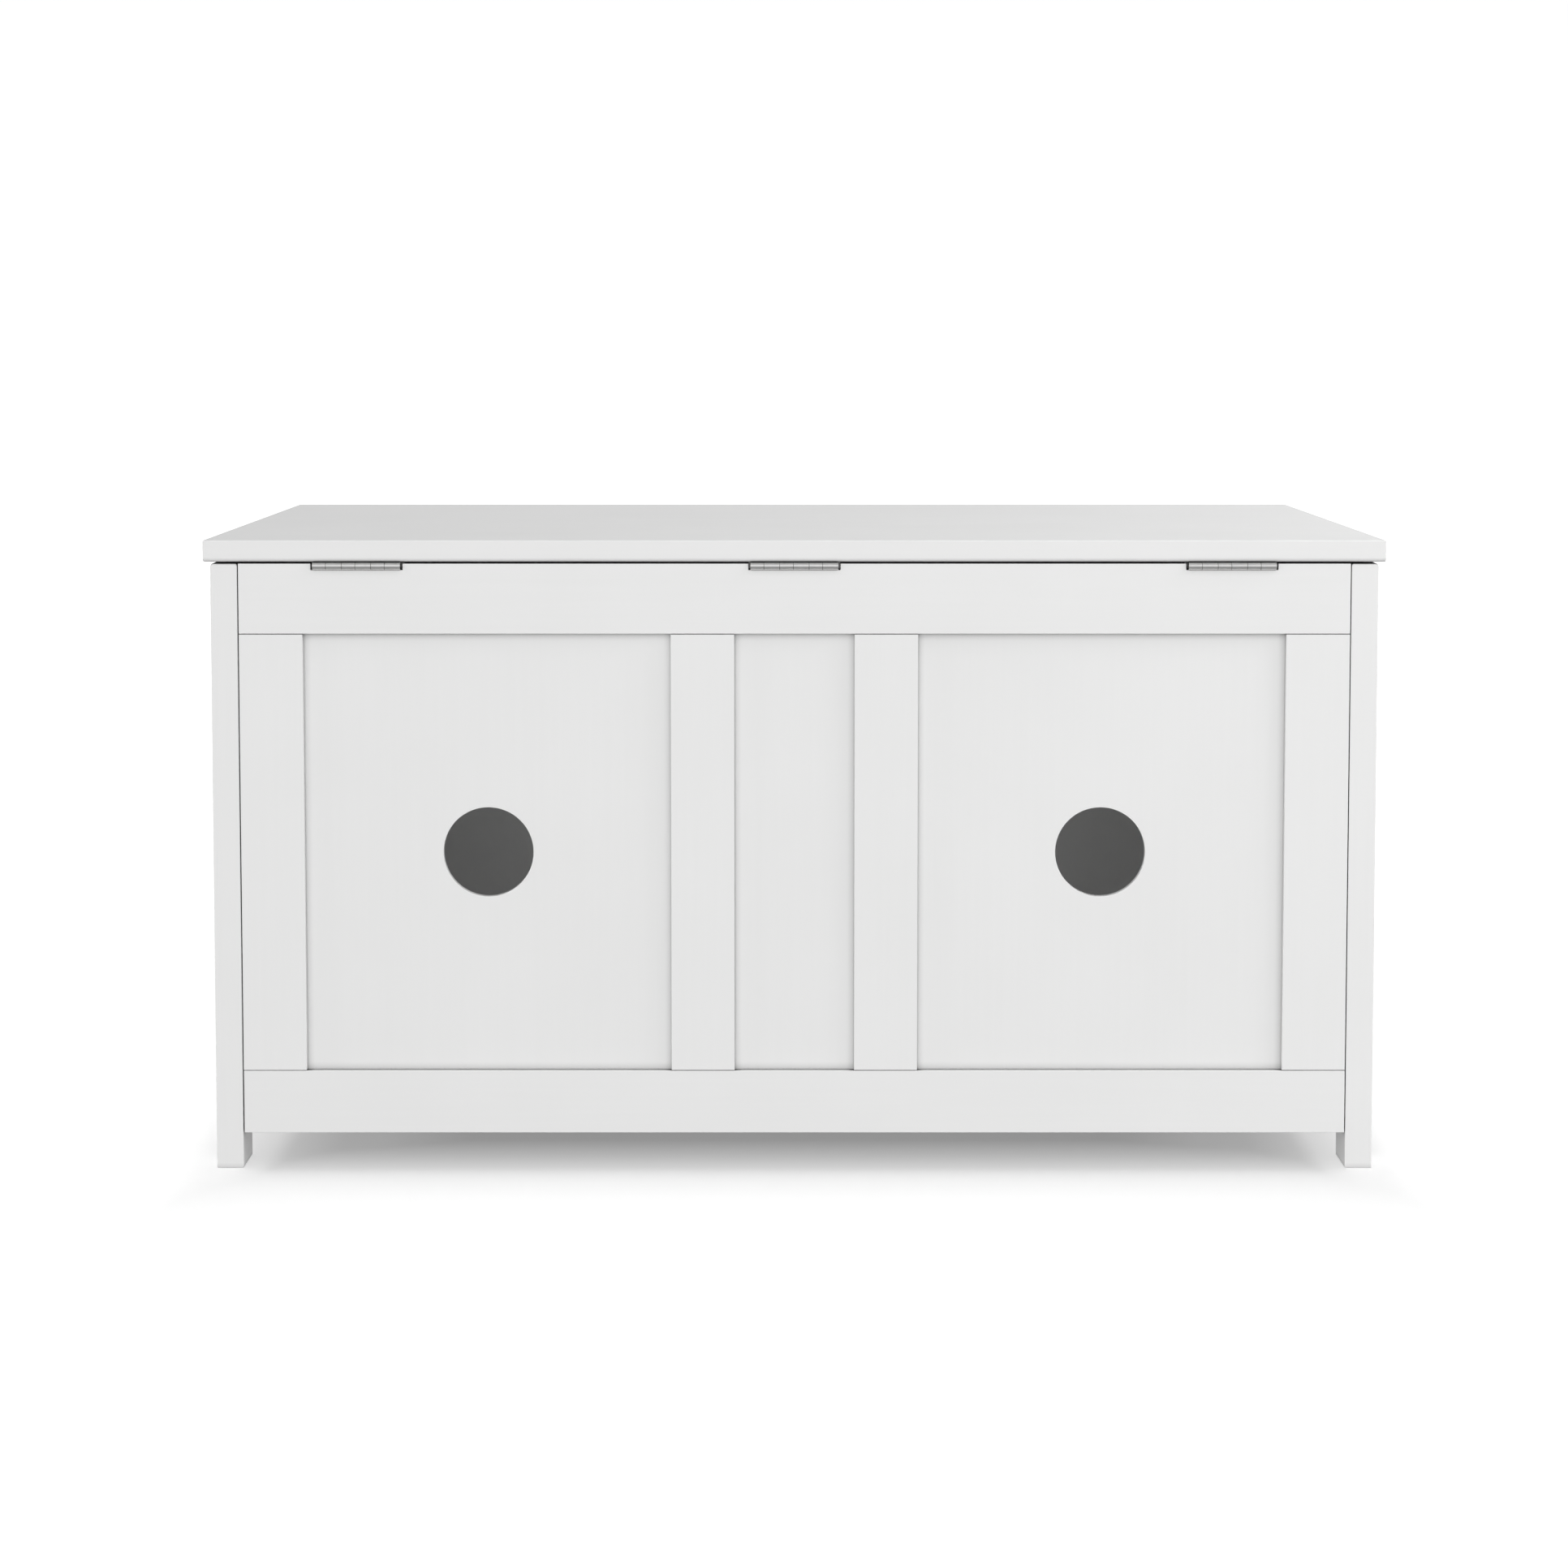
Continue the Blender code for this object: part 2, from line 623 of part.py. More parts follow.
def make_stay_plate(side_name, side, stud_place, box):
    """The round-ended plate that holds the stud on the end wall's top rail."""
    half_run = (PLATE_SIZE[0] - PLATE_SIZE[1]) / 2
    radius = PLATE_SIZE[1] / 2
    outline = arc((half_run, 0.0), radius, -90, 90, ROUND_STEPS // 2)
    outline += arc((-half_run, 0.0), radius, 90, 270, ROUND_STEPS // 2)
    plate = plate_from(f"stay_plate_{side_name}", outline, PLATE_LAYER, stud_place, side, box)
    middle_x = side * sum(PLATE_LAYER) / 2
    holes = [
        rod(
            f"{plate.name}_hole_{index}",
            (middle_x, stud_place.y + index * PLATE_SCREW_OFFSET, stud_place.z),
            RIVET_RADIUS if index else RIVET_RADIUS + GAP,
            4 * (PLATE_LAYER[1] - PLATE_LAYER[0]),
        )
        for index in (-1, 0, 1)
    ]
    combine(plate, holes, "DIFFERENCE")
    finish(plate, "zinc_steel", smooth=True)


def make_stay_bracket(side_name, side, pivot_place, lid_group):
    """An angle bracket: a tab screwed up into the lid and a hanging flange with the pivot hole."""
    tab_top = LID_UNDERSIDE - GAP
    tab_bottom = tab_top - TAB_THICKNESS
    rise = tab_top - pivot_place.z
    outline = [(FLANGE_RADIUS, rise), (-FLANGE_RADIUS, rise)]
    outline += arc((0.0, 0.0), FLANGE_RADIUS, 180, 360, ROUND_STEPS)
    bracket = plate_from(
        f"stay_bracket_{side_name}", outline, FLANGE_LAYER, pivot_place, side, lid_group
    )
    tab_x = span(side, FLANGE_LAYER[1] - TAB_DEPTH, FLANGE_LAYER[1])
    tab = block(
        bracket.name + "_tab",
        (tab_x[0], pivot_place.y - TAB_LENGTH / 2, tab_bottom),
        (tab_x[1], pivot_place.y + TAB_LENGTH / 2, tab_top),
    )
    combine(bracket, [tab], "UNION")
    middle_x = side * sum(FLANGE_LAYER) / 2
    hole = rod(
        bracket.name + "_pivot_hole", (middle_x, pivot_place.y, pivot_place.z), PIVOT_HOLE,
        2 * (FLANGE_LAYER[1] - FLANGE_LAYER[0]), KNUCKLE_STEPS,
    )
    tools = [hole]
    for index in (-1, 1):
        bm = bmesh.new()
        bmesh.ops.create_cone(
            bm, cap_ends=True, segments=ROUND_STEPS, radius1=RIVET_RADIUS,
            radius2=RIVET_RADIUS, depth=4 * TAB_THICKNESS,
        )
        place = Vector(
            (
                side * (FLANGE_LAYER[1] - 0.6 * TAB_DEPTH),
                pivot_place.y + index * TAB_SCREW_OFFSET,
                tab_bottom,
            )
        )
        tools.append(add_object(f"{bracket.name}_screw_hole_{index}", bm, place))
    combine(bracket, tools, "DIFFERENCE")
    finish(bracket, "zinc_steel", smooth=True)


def make_stay_arm(side_name, side, stud_place, pivot_place, lid_group):
    """The slotted arm, hung from the bracket's pivot with the stud near the top of its slot."""
    empty = add_empty(
        f"stay_arm_{side_name}_axis",
        Vector((side * sum(ARM_LAYER) / 2, pivot_place.y, pivot_place.z)),
        lid_group,
    )
    outline = long_hole(0.0, SLOT_END, ARM_WIDTH / 2)
    arm = plate_from(
        f"stay_arm_{side_name}", outline, ARM_LAYER, pivot_place, side, empty
    )
    thick = (2 * ARM_LAYER[0] - ARM_LAYER[1], 2 * ARM_LAYER[1] - ARM_LAYER[0])
    slot = plate_from(
        arm.name + "_slot", long_hole(SLOT_START, SLOT_END, SLOT_WIDTH / 2), thick,
        pivot_place, side,
    )
    hole = rod(
        arm.name + "_pivot_hole", place_of(arm), PIVOT_HOLE, thick[1] - thick[0], KNUCKLE_STEPS
    )
    combine(arm, [slot, hole], "DIFFERENCE")
    towards_stud = stud_place - pivot_place
    arm.rotation_euler.x = math.atan2(towards_stud.y, -towards_stud.z)
    finish(arm, "zinc_steel", smooth=True)


def make_bumpers(box):
    """Rubber discs on the front rail that the closed lid rests on."""
    middle_y = FRONT_FACE + FRAME_THICKNESS / 2
    middle_z = LEG_HEIGHT + BUMPER_CLEARANCE + BUMPER_THICKNESS / 2
    for side_name, side in SIDES:
        bm = bmesh.new()
        bmesh.ops.create_cone(
            bm, cap_ends=True, segments=KNUCKLE_STEPS, radius1=BUMPER_RADIUS,
            radius2=0.85 * BUMPER_RADIUS, depth=BUMPER_THICKNESS,
        )
        place = Vector((side * BUMPER_OFFSET, middle_y, middle_z))
        finish(add_object(f"lid_bumper_{side_name}", bm, place, box), "rubber", smooth=True)


def main():
    clear_scene()
    box = add_empty("box_origin", ORIGIN)
    lid_group = add_empty("lid_hinge_axis", LID_AXIS, box)
    back_rail, vented = make_long_wall(Wall("back", "X", BACK_FACE, 1))
    make_long_wall(Wall("front", "X", FRONT_FACE, -1))
    cut_vents(vented)
    cut_hinge_notches(back_rail)
    for side_name, side in SIDES:
        make_end_wall(side_name, side)
        make_leg(f"leg_back_{side_name}", side, BACK_FACE, -1)
        make_leg(f"leg_front_{side_name}", side, FRONT_FACE, 1)
        make_stay(side_name, side, box, lid_group)
    make_floor()
    make_lid(lid_group)
    make_hinges(box, lid_group)
    make_bumpers(box)


main()
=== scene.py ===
"""The looks of the lidded wooden toy box: satin white lacquer over the frame-and-panel boards,
brushed hinges, zinc-plated stays, their screws, and a white studio. Metres, in the CAD's frame."""

import math
from collections import namedtuple

import bmesh
import bpy
from mathutils import Matrix, Vector


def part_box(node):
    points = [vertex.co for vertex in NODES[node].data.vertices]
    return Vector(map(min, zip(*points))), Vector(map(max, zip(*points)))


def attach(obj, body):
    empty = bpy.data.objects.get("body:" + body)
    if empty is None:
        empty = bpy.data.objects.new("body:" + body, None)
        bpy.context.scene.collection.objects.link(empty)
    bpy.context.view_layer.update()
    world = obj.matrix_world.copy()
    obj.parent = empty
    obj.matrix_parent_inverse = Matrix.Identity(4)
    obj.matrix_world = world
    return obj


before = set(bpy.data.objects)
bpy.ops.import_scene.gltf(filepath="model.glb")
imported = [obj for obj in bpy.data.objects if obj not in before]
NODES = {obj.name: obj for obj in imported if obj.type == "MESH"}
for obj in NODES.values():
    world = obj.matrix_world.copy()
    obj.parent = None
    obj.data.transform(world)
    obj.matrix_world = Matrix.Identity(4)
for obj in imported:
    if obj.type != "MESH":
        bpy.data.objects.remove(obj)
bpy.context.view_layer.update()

MM = 0.001
AXES = (Vector((1, 0, 0)), Vector((0, 1, 0)), Vector((0, 0, 1)))
WHITE = (1.0, 1.0, 1.0, 1.0)

# Places that come from the CAD
BACK_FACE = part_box("back_top_rail")[1].y
FRONT_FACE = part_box("front_top_rail")[0].y
HALF_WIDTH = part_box("leg_back_right")[1].x

# Camera: behind the box, a little above its lid, aimed slightly down
CAMERA_PLACE = (8.04 * MM, 2353.0 * MM, 657.9 * MM)
CAMERA_TILT = math.radians(90.0 - 3.457)
CAMERA_HEADING = math.radians(180.0)
CAMERA_LENS = 63.77
SENSOR_WIDTH = 36.0
CAMERA_SHIFT_Y = -0.185

# Edge rounding of the boards, by the first match in the node's name. The lid's is in the CAD
EDGE_ROUNDING = (("leg_", 0.8 * MM), ("", 0.45 * MM))
ROUNDING_STEPS = 3
WELD_DISTANCE = 0.01 * MM
FLAT_ANGLE = math.radians(1.0)
CORNER_ANGLE = math.radians(35.0)

# Painted crevice shade: how far it looks for a neighbour, and the power that darkens the colour
SHADE_SAMPLES = 6
SHADE_REACH = 6.0 * MM
SHADE_POWER = 0.42
STEEL_SHADE_REACH = 3.0 * MM
STEEL_SHADE_POWER = 0.9
# Faces turn from upright to level while their normal's upright part runs through this
LEVEL_RANGE = (0.85, 0.98)
# Painted shade: the dark line along the hinges, on level faces this far in front of the back face
GAP_POWER = 2.5
GAP_LINE_DEPTH = 8.0 * MM
GAP_LINE_FADE = 4.0 * MM
# Painted contact shade: the feet are darker where they stand on the floor
FOOT_SHADE = 0.80
FOOT_SHADE_HEIGHT = 4.0 * MM

# The middle of a noise, where nearly all of its values are
NOISE_RANGE = (0.3, 0.7)
# Each finish: colours where its mottle is low and high, roughness likewise, and its reliefs
PAINT_COLOURS = ((0.775, 0.775, 0.772, 1.0), (0.795, 0.795, 0.793, 1.0))
PAINT_ROUGHNESS = (0.58, 0.50)
PAINT_SPECULAR = 0.16
GRAIN_SHARE = 0.35
GRAIN_RELIEF = 0.035 * MM
PEEL_RELIEF = 0.010 * MM
HINGE_COLOURS = ((0.76, 0.76, 0.75, 1.0), (0.82, 0.815, 0.805, 1.0))
HINGE_ROUGHNESS = (0.42, 0.32)
BRUSH_RELIEF = 0.006 * MM
ZINC_COLOURS = ((0.47, 0.48, 0.50, 1.0), (0.60, 0.61, 0.63, 1.0))
ZINC_ROUGHNESS = (0.30, 0.46)
ROLLED_RELIEF = 0.004 * MM
RUBBER_COLOURS = ((0.25, 0.25, 0.25, 1.0), (0.33, 0.33, 0.33, 1.0))
RUBBER_ROUGHNESS = (0.70, 0.85)
RUBBER_SPECULAR = 0.4
PORE_RELIEF = 0.03 * MM
# Noise features per metre. Where there are two, along a piece's length and across it
GRAIN_SCALES = (6.0, 260.0)
CLOUD_SCALE = 9.0
PEEL_SCALE = 700.0
BRUSH_SCALES = (60.0, 4000.0)
SMUDGE_SCALE = 300.0
MOTTLE_SCALE = 180.0
ROLLED_SCALES = (40.0, 2500.0)
PORE_SCALE = 1500.0

# Screws: where they sit on the hinge leaves, the stay plates and the stay brackets
LEAF_SCREW_PITCH = 24.0 * MM
LEAF_SCREW_SETBACK = 9.4 * MM
LEAF_FACE_OFFSET = 1.75 * MM
PLATE_SCREW_OFFSET = 20.0 * MM
TAB_SCREW_OFFSET = 12.0 * MM
TAB_SCREW_SHARE = 0.6
TAB_THICKNESS = 1.6 * MM
# Which way each screw of a pair lies from their middle, and its number
PAIR = ((-1, 1), (1, 2))
# Their sizes: head radius, shank radius, how deep or high the head is, and length
LEAF_SCREW_SIZE = (2.65 * MM, 1.45 * MM, 0.95 * MM, 9.0 * MM)
STAY_SCREW_SIZE = (3.9 * MM, 2.0 * MM, 1.2 * MM, 10.0 * MM)
# A cross recess is drawn as shares of a radius: the whole flat head's, or the dome's flat top
LEAF_RECESS_RADIUS = 2.65 * MM
STAY_RECESS_RADIUS = 2.4 * MM
# The shape of their heads, points and cross recesses
HEAD_STEPS = 32
FLAT_RIM_SHARE = 0.93
FLAT_RIM_HEIGHT = 0.12 * MM
DOME_SHARES = ((0.62, 1.0), (0.86, 0.82), (0.97, 0.5), (1.0, 0.15), (1.0, 0.0))
SHANK_SHARE = 0.8
POINT_SHARE = 0.15
CROSS_REACH = 0.56
CROSS_HALF_WIDTH = 0.13
CROSS_FLOOR_REACH = 0.45
CROSS_FLOOR_WIDTH = 0.7
CROSS_DEPTH = 0.8 * MM

# Studio: a sky that is brightest at the horizon, by the upright part of the direction
SKY_HORIZON = 1.05
SKY_BELOW = 0.30
SKY_BELOW_RANGE = (-0.12, -0.04)
SKY_FALL = 0.78
SKY_FALL_RANGE = (0.06, 1.0)
# Name, place, size and power of each softbox, and whether it shows in reflections
SOFTBOXES = (
    ("key", (-1.7, 0.30, 1.4), 1.2, 18.5, True),
    ("low_right", (-1.5, 1.1, 0.1), 0.8, 2.0, False),
    ("behind_box", (0.3, 4.5, 0.9), 2.4, 70.0, False),
    ("before_box", (0.3, -4.2, 0.9), 2.4, 70.0, False),
    ("left_of_box", (4.4, 0.2, 0.9), 2.4, 50.0, False),
    ("over_camera", (0.2, 2.9, 2.7), 2.4, 7.0, True),
)
# What the softboxes face
AIM = (0.0, 0.0, 0.3)
# A weak light inside the box, for the grey that shows through the vents
CAVITY_PLACE = (0.0, 0.0, 0.25)
CAVITY_RADIUS = 0.08
CAVITY_POWER = 0.165

FLOOR_RADIUS = 20.0
FLOOR_STEPS = 64
FLOOR_ALBEDO = 0.92
FLOOR_ROUGHNESS = 0.9
# The floor's own glow, a painted light that fades into a painted shadow near the box, by the
# distance outside the box's long sides, and outside its ends
SIDE_GLOW = (
    (-0.075, 0.06), (-0.048, 0.15), (-0.026, 0.21), (-0.006, 0.27), (0.017, 0.35),
    (0.049, 0.41), (0.084, 0.47), (0.12, 0.51), (0.3, 0.6), (1.6, 1.0),
)
END_GLOW = (
    (-0.2, 0.05), (-0.12, 0.13), (-0.088, 0.14), (-0.05, 0.23), (-0.034, 0.37),
    (0.005, 0.44), (0.03, 0.52), (0.14, 0.55), (0.6, 0.65), (1.6, 1.0),
)


def add_object(name, data):
    made = bpy.data.objects.new(name, data)
    bpy.context.scene.collection.objects.link(made)
    return made


def mesh_from(name, bm):
    mesh = bpy.data.meshes.new(name)
    bm.to_mesh(mesh)
    bm.free()
    return mesh


# ---------------------------------------------------------------- meshes

def smooth_by_angle():
    """A geometry group that shades a mesh smooth and keeps its corners sharp."""
    group = bpy.data.node_groups.new("smooth_by_angle", "GeometryNodeTree")
    for way in ("INPUT", "OUTPUT"):
        group.interface.new_socket("Geometry", in_out=way, socket_type="NodeSocketGeometry")
    start = group.nodes.new("NodeGroupInput")
    end = group.nodes.new("NodeGroupOutput")
    faces = group.nodes.new("GeometryNodeSetShadeSmooth")
    faces.domain = "FACE"
    faces.inputs["Shade Smooth"].default_value = True
    angle = group.nodes.new("GeometryNodeInputMeshEdgeAngle")
    corner = group.nodes.new("FunctionNodeCompare")
    corner.data_type = "FLOAT"
    corner.operation = "GREATER_THAN"
    corner.inputs["B"].default_value = CORNER_ANGLE
    edges = group.nodes.new("GeometryNodeSetShadeSmooth")
    edges.domain = "EDGE"
    edges.inputs["Shade Smooth"].default_value = False
    group.links.new(start.outputs[0], faces.inputs["Geometry"])
    group.links.new(angle.outputs["Unsigned Angle"], corner.inputs["A"])
    group.links.new(faces.outputs[0], edges.inputs["Geometry"])
    group.links.new(corner.outputs["Result"], edges.inputs["Selection"])
    group.links.new(edges.outputs[0], end.inputs[0])
    return group


SMOOTHING = smooth_by_angle()


def add_smoothing(obj):
    shade = obj.modifiers.new("shade", "NODES")
    shade.node_group = SMOOTHING
    weigh = obj.modifiers.new("weigh", "WEIGHTED_NORMAL")
    weigh.mode = "FACE_AREA"
    weigh.weight = 100
    weigh.keep_sharp = True


def add_weld(obj):
    """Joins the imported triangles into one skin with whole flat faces."""
    weld = obj.modifiers.new("weld", "WELD")
    weld.merge_threshold = WELD_DISTANCE
    flat = obj.modifiers.new("flat", "DECIMATE")
    flat.decimate_type = "DISSOLVE"
    flat.angle_limit = FLAT_ANGLE


def add_rounding(obj, width):
    rounding = obj.modifiers.new("rounding", "BEVEL")
    rounding.width = width
    rounding.segments = ROUNDING_STEPS
    rounding.limit_method = "ANGLE"
    rounding.angle_limit = CORNER_ANGLE


# ---------------------------------------------------------------- materials

class Graph:
    """Short ways to add nodes to a shader tree."""

    def __init__(self, tree):
        self.nodes = tree.nodes
        self.links = tree.links

    def ranged(self, value, low, high, source=NOISE_RANGE):
        """Low to high as the value runs through the source range, and level beyond it."""
        node = self.nodes.new("ShaderNodeMapRange")
        node.inputs["From Min"].default_value = source[0]
        node.inputs["From Max"].default_value = source[1]
        node.inputs["To Min"].default_value = low
        node.inputs["To Max"].default_value = high
        self.links.new(value, node.inputs["Value"])
        return node.outputs["Result"]

    def steps(self, value, stops):
        """A line through (input, output) stops, level beyond both ends."""
        total = stops[0][1]
        for (near, low), (far, high) in zip(stops, stops[1:]):
            rise = self.ranged(value, 0.0, high - low, (near, far))
            total = self.maths("ADD", total, rise)
        return total

    def maths(self, operation, *values):
        """A Math node on sockets and numbers."""
        node = self.nodes.new("ShaderNodeMath")
        node.operation = operation
        for socket, value in zip(node.inputs, values):
            if isinstance(value, bpy.types.NodeSocket):
                self.links.new(value, socket)
            else:
                socket.default_value = value
        return node.outputs[0]

    def parts(self, vector):
        node = self.nodes.new("ShaderNodeSeparateXYZ")
        self.links.new(vector, node.inputs[0])
        return node.outputs


class Surface(Graph):
    """A node material with a Principled shader, and what feeds it."""

    def __init__(self, name, **values):
        self.material = bpy.data.materials.new(name)
        self.material.use_nodes = True
        super().__init__(self.material.node_tree)
        self.shader = self.nodes["Principled BSDF"]
        for socket, value in values.items():
            self.shader.inputs[socket.replace("_", " ")].default_value = value
        self.coordinates = self.nodes.new("ShaderNodeTexCoord")
        self.place = self.coordinates.outputs["Object"]

    def noise(self, scale, detail, roughness=0.5, distortion=0.0):
        """Noise with scale features per metre, as one number or one for each axis."""
        mapping = self.nodes.new("ShaderNodeMapping")
        mapping.inputs["Scale"].default_value = scale if isinstance(scale, tuple) else (scale,) * 3
        self.links.new(self.place, mapping.inputs["Vector"])
        noise = self.nodes.new("ShaderNodeTexNoise")
        noise.inputs["Scale"].default_value = 1.0
        noise.inputs["Detail"].default_value = detail
        noise.inputs["Roughness"].default_value = roughness
        noise.inputs["Distortion"].default_value = distortion
        self.links.new(mapping.outputs["Vector"], noise.inputs["Vector"])
        return noise.outputs["Fac"]

    def mottled(self, value, colours):
        """The first colour where a noise is low, and the second where it is high."""
        node = self.nodes.new("ShaderNodeMix")
        node.data_type = "RGBA"
        node.inputs["A"].default_value = colours[0]
        node.inputs["B"].default_value = colours[1]
        self.links.new(self.ranged(value, 0.0, 1.0), node.inputs["Factor"])
        return node.outputs["Result"]

    def mixed(self, first, second, share):
        node = self.nodes.new("ShaderNodeMix")
        node.inputs["Factor"].default_value = share
        self.links.new(first, node.inputs["A"])
        self.links.new(second, node.inputs["B"])
        return node.outputs["Result"]

    def scaled(self, colour, share):
        node = self.nodes.new("ShaderNodeVectorMath")
        node.operation = "SCALE"
        self.links.new(colour, node.inputs[0])
        self.links.new(share, node.inputs["Scale"])
        return node.outputs[0]

    def openness(self, reach):
        """1 on open faces and less where something stands within reach."""
        occlusion = self.nodes.new("ShaderNodeAmbientOcclusion")
        occlusion.samples = SHADE_SAMPLES
        occlusion.inputs["Distance"].default_value = reach
        return occlusion.outputs["AO"]

    def painted_crevice_shade(self):
        """Painted shade for a colour: 1 on open faces and less in seams and inner corners. Level
        faces, which meet only while the lid is shut, stay at 1, except in the painted dark line
        along the hinges."""
        facing = self.maths("ABSOLUTE", self.parts(self.coordinates.outputs["Normal"])["Z"])
        upright = self.ranged(facing, SHADE_POWER, 0.0, LEVEL_RANGE)
        level = self.ranged(facing, 0.0, GAP_POWER, LEVEL_RANGE)
        line = BACK_FACE - GAP_LINE_DEPTH
        at_hinges = self.ranged(
            self.parts(self.place)["Y"], 0.0, 1.0, (line - GAP_LINE_FADE, line),
        )
        power = self.maths("MULTIPLY_ADD", level, at_hinges, upright)
        return self.maths("POWER", self.openness(SHADE_REACH), power)

    def bump(self, height, distance, before=None):
        node = self.nodes.new("ShaderNodeBump")
        node.inputs["Strength"].default_value = 1.0
        node.inputs["Distance"].default_value = distance
        self.links.new(height, node.inputs["Height"])
        if before is not None:
            self.links.new(before, node.inputs["Normal"])
        return node.outputs["Normal"]

    def feed(self, socket, value):
        self.links.new(value, self.shader.inputs[socket])


def along(axis, scales):
    """Noise scales that stretch a texture along one axis."""
    return tuple(scales[0] if i == axis else scales[1] for i in range(3))


def white_paint(axis):
    """Sprayed satin lacquer on wood: fine orange peel, and the grain just telling through.
    Its colour also carries painted shade in seams, inner corners, along the hinges and at the
    feet.
    """
    surface = Surface(f"white_lacquer_{'xyz'[axis]}", Specular_IOR_Level=PAINT_SPECULAR)
    grain = surface.noise(along(axis, GRAIN_SCALES), detail=4.0, roughness=0.6, distortion=0.4)
    cloud = surface.noise(CLOUD_SCALE, detail=2.0)
    peel = surface.noise(PEEL_SCALE, detail=2.0)
    colour = surface.mottled(surface.mixed(cloud, grain, GRAIN_SHARE), PAINT_COLOURS)
    height = surface.parts(surface.place)["Z"]
    # Painted contact shade: the colour darkens over the lowest few millimetres of the feet
    foot = surface.ranged(height, FOOT_SHADE, 1.0, (0.0, FOOT_SHADE_HEIGHT))
    # Painted shade: the colour is darkened in crevices, along the hinges and at the feet
    shade = surface.maths("MULTIPLY", surface.painted_crevice_shade(), foot)
    surface.feed("Base Color", surface.scaled(colour, shade))
    surface.feed("Roughness", surface.ranged(grain, *PAINT_ROUGHNESS))
    relief = surface.bump(grain, GRAIN_RELIEF)
    surface.feed("Normal", surface.bump(peel, PEEL_RELIEF, relief))
    return surface.material


def brushed_steel():
    """Satin steel on the hinges, brushed along their length."""
    surface = Surface("satin_hinge_steel", Metallic=1.0)
    brush = surface.noise(along(0, BRUSH_SCALES), detail=3.0, roughness=0.7)
    colour = surface.mottled(surface.noise(SMUDGE_SCALE, detail=3.0), HINGE_COLOURS)
    # Painted shade: the steel's colour darkens where a neighbour stands within reach
    shade = surface.maths("POWER", surface.openness(STEEL_SHADE_REACH), STEEL_SHADE_POWER)
    surface.feed("Base Color", surface.scaled(colour, shade))
    surface.feed("Roughness", surface.ranged(brush, *HINGE_ROUGHNESS))
    surface.feed("Normal", surface.bump(brush, BRUSH_RELIEF))
    return surface.material


def zinc_plate():
    """Bright zinc on the stays: a faint mottle and rolled lines."""
    surface = Surface("zinc_plate", Metallic=1.0)
    mottle = surface.noise(MOTTLE_SCALE, detail=4.0, roughness=0.6)
    rolled = surface.noise(along(1, ROLLED_SCALES), detail=2.0)
    surface.feed("Base Color", surface.mottled(mottle, ZINC_COLOURS))
    surface.feed("Roughness", surface.ranged(mottle, *ZINC_ROUGHNESS))
    surface.feed("Normal", surface.bump(rolled, ROLLED_RELIEF))
    return surface.material


def dark_rubber():
    surface = Surface("bumper_rubber", Specular_IOR_Level=RUBBER_SPECULAR)
    pores = surface.noise(PORE_SCALE, detail=3.0)
    surface.feed("Base Color", surface.mottled(pores, RUBBER_COLOURS))
    surface.feed("Roughness", surface.ranged(pores, *RUBBER_ROUGHNESS))
    surface.feed("Normal", surface.bump(pores, PORE_RELIEF))
    return surface.material


PAINTS = [white_paint(axis) for axis in range(3)]
HARDWARE = {
    "hinge_steel": brushed_steel(),
    "zinc_steel": zinc_plate(),
    "rubber": dark_rubber(),
}


def longest_axis(name):
    low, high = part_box(name)
    size = high - low
    return max(range(3), key=lambda axis: size[axis])


def dress_nodes():
    """Gives every CAD node its finish, and rounds the arrises of the boards."""
    for name, node in NODES.items():
        add_weld(node)
        slot_name = node.material_slots[0].material.name.split(".")[0]
        if slot_name in HARDWARE:
            node.material_slots[0].material = HARDWARE[slot_name]
        else:
            node.material_slots[0].material = PAINTS[longest_axis(name)]
            if name != "lid":
                width = next(w for start, w in EDGE_ROUNDING if name.startswith(start))
                add_rounding(node, width)
        add_smoothing(node)


# ---------------------------------------------------------------- screws

def flat_screw_profile(head_radius, shank_radius, sink, length):
    """A countersunk head, as (radius, height) pairs from its rim down to the point."""
    return [
        (FLAT_RIM_SHARE * head_radius, FLAT_RIM_HEIGHT),
        (head_radius, 0.0),
        (shank_radius, -sink),
        (shank_radius, -SHANK_SHARE * length),
        (POINT_SHARE * shank_radius, -length),
    ]


def pan_screw_profile(head_radius, shank_radius, height, length):
    """A domed head that stands on its flat underside, as (radius, height) pairs likewise."""
    dome = [(out * head_radius, up * height) for out, up in DOME_SHARES]
    return dome + [
        (shank_radius, 0.0),
        (shank_radius, -SHANK_SHARE * length),
        (POINT_SHARE * shank_radius, -length),
    ]


ScrewKind = namedtuple("ScrewKind", "profile recess_radius slot_name")
LEAF_SCREW = ScrewKind(
    flat_screw_profile(*LEAF_SCREW_SIZE), LEAF_RECESS_RADIUS, "hinge_steel",
)
STAY_SCREW = ScrewKind(
    pan_screw_profile(*STAY_SCREW_SIZE), STAY_RECESS_RADIUS, "zinc_steel",
)


def ring(bm, radius, height):
    turns = [2 * math.pi * i / HEAD_STEPS for i in range(HEAD_STEPS)]
    return [bm.verts.new((radius * math.cos(t), radius * math.sin(t), height)) for t in turns]


def cross(bm, reach, half_width, height):
    """The twelve corners of a plus shape, counterclockwise."""
    arm = [(reach, -half_width), (reach, half_width), (half_width, half_width)]
    corners = []
    for quarter in range(4):
        cosine = math.cos(quarter * math.pi / 2)
        sine = math.sin(quarter * math.pi / 2)
        for x, y in arm:
            corners.append(bm.verts.new((x * cosine - y * sine, x * sine + y * cosine, height)))
    return corners


def join_rings(bm, rings):
    for first, second in zip(rings, rings[1:]):
        for i in range(len(first)):
            j = (i + 1) % len(first)
            bm.faces.new((first[i], first[j], second[j], second[i]))


def loop_edges(bm, loop):
    pairs = zip(loop, loop[1:] + loop[:1])
    return [bm.edges.get(pair) or bm.edges.new(pair) for pair in pairs]


